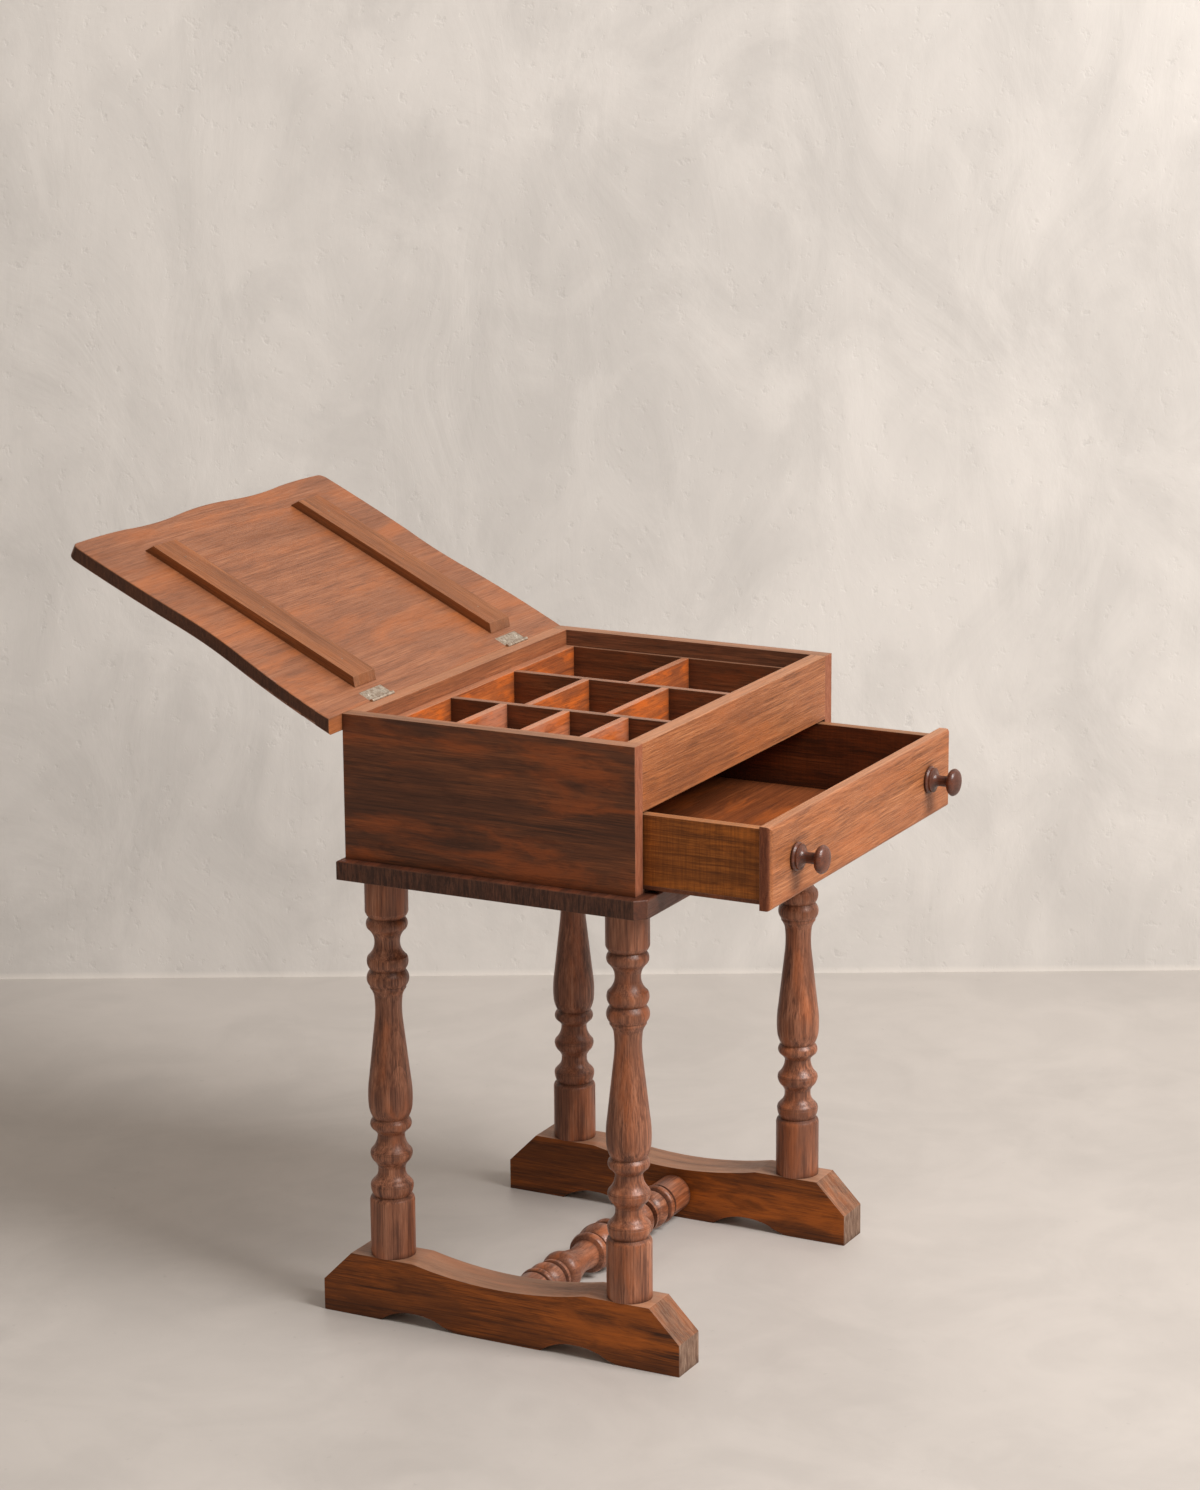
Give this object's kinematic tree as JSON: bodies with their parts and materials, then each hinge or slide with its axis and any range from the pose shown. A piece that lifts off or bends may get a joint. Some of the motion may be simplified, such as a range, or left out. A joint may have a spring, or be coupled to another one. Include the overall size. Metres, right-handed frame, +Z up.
{
  "type": "sewing box on a stand",
  "caption": "Partitioned wooden sewing box with a hinged serpentine lid and a drawer below, on a stand of turned legs, shaped feet and a turned stretcher.",
  "frame": {"origin": "on the floor, under the centre of the bounding box with the lid open and the drawer pulled out part of the way", "axes": "+Z up, -Y towards the drawer's front, +Y the way the open lid leans, +X to the right seen from the drawer's front"},
  "size_m": [0.4865, 0.793, 0.7709],
  "materials": {
    "stand_wood": "satin",
    "box_wood": "satin",
    "lid_wood": "satin",
    "drawer_wood": "satin",
    "inside_wood": "matte",
    "steel": "worn"
  },
  "bodies": {
    "stand": {"left_foot": "stand_wood", "right_foot": "stand_wood", "leg_front_left": "stand_wood", "leg_back_left": "stand_wood", "leg_front_right": "stand_wood", "leg_back_right": "stand_wood", "stretcher": "stand_wood", "base_board": "stand_wood", "base_screws": "steel", "left_side": "box_wood", "right_side": "box_wood", "back_board": "box_wood", "front_rail": "box_wood", "compartment_floor": "inside_wood", "front_liner": "inside_wood", "back_liner": "inside_wood", "left_liner": "inside_wood", "right_liner": "inside_wood", "long_divider_left": "inside_wood", "long_divider_right": "inside_wood", "cross_divider_left_back": "inside_wood", "cross_divider_left_middle": "inside_wood", "cross_divider_left_front": "inside_wood", "cross_divider_middle_back": "inside_wood", "cross_divider_middle_front": "inside_wood", "cross_divider_right": "inside_wood", "left_runner": "inside_wood", "right_runner": "inside_wood", "back_leaf_left": "steel", "back_leaf_right": "steel", "back_leaf_screws": "steel", "hinge_pin_left": "steel", "hinge_pin_right": "steel"},
    "lid": {"lid_board": "lid_wood", "left_batten": "lid_wood", "right_batten": "lid_wood", "batten_nails": "steel", "lid_leaf_left": "steel", "lid_leaf_right": "steel", "lid_leaf_screws": "steel"},
    "drawer": {"drawer_front": "drawer_wood", "drawer_left_side": "drawer_wood", "drawer_right_side": "drawer_wood", "drawer_back": "drawer_wood", "drawer_bottom": "drawer_wood", "drawer_nails": "steel", "left_knob": "drawer_wood", "right_knob": "drawer_wood"}
  },
  "joints": [
    {"name": "lid_hinge", "type": "hinge", "parent": "stand", "child": "lid", "pos_m": [-0.00226, 0.09183, 0.62615], "axis": [1, 0, 0], "range_deg": [0, 154.1]},
    {"name": "drawer_slide", "type": "slide", "parent": "stand", "child": "drawer", "axis": [0, -1, 0], "range_m": [-0.1244, 0.09]}
  ]
}
